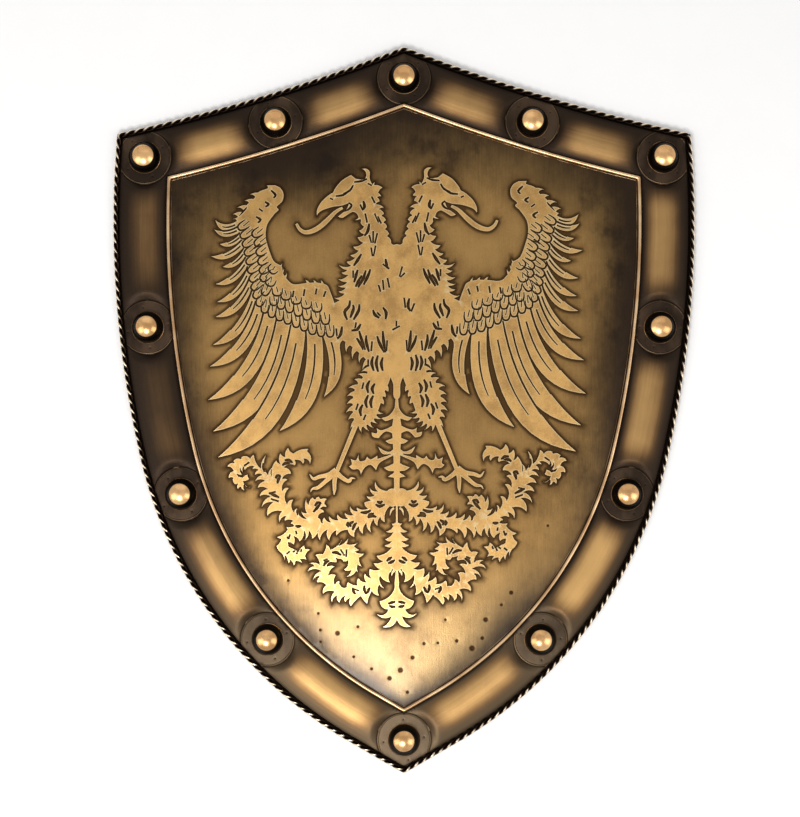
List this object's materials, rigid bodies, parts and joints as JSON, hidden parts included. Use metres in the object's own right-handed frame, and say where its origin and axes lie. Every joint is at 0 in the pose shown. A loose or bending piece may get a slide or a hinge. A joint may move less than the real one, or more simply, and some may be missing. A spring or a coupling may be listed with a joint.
{
  "type": "decorative shield",
  "caption": "Heater-shaped wall shield in aged brass: domed field with an etched double-headed eagle over scrolling foliage, rolled border with domed studs, twisted wire edge.",
  "frame": {"origin": "centre of the bounding box in the back plane, where the outer flange lies on the floor or wall", "axes": "+X to the shield's right as its face is looked at, +Y from the tip to the top, +Z out of the face; the shield lies on its back"},
  "size_m": [0.4796, 0.6, 0.0202],
  "materials": {
    "aged_brass_field": "brushed, antiqued dark round the relief and towards the edge",
    "aged_brass_band": "brushed, antiqued dark round the studs and along both edges",
    "bright_brass": "polished",
    "dark_brass_wire": "darkened, bright on the crests",
    "polished_brass": "polished crown over darkened flanks"
  },
  "bodies": {
    "root": {"field_plate": "aged_brass_field", "border_band": "aged_brass_band", "inner_bead": "bright_brass", "rope_edge": "dark_brass_wire", "stud_01": "polished_brass", "stud_02": "polished_brass", "stud_03": "polished_brass", "stud_04": "polished_brass", "stud_05": "polished_brass", "stud_06": "polished_brass", "stud_07": "polished_brass", "stud_08": "polished_brass", "stud_09": "polished_brass", "stud_10": "polished_brass", "stud_11": "polished_brass", "stud_12": "polished_brass"}
  },
  "joints": []
}
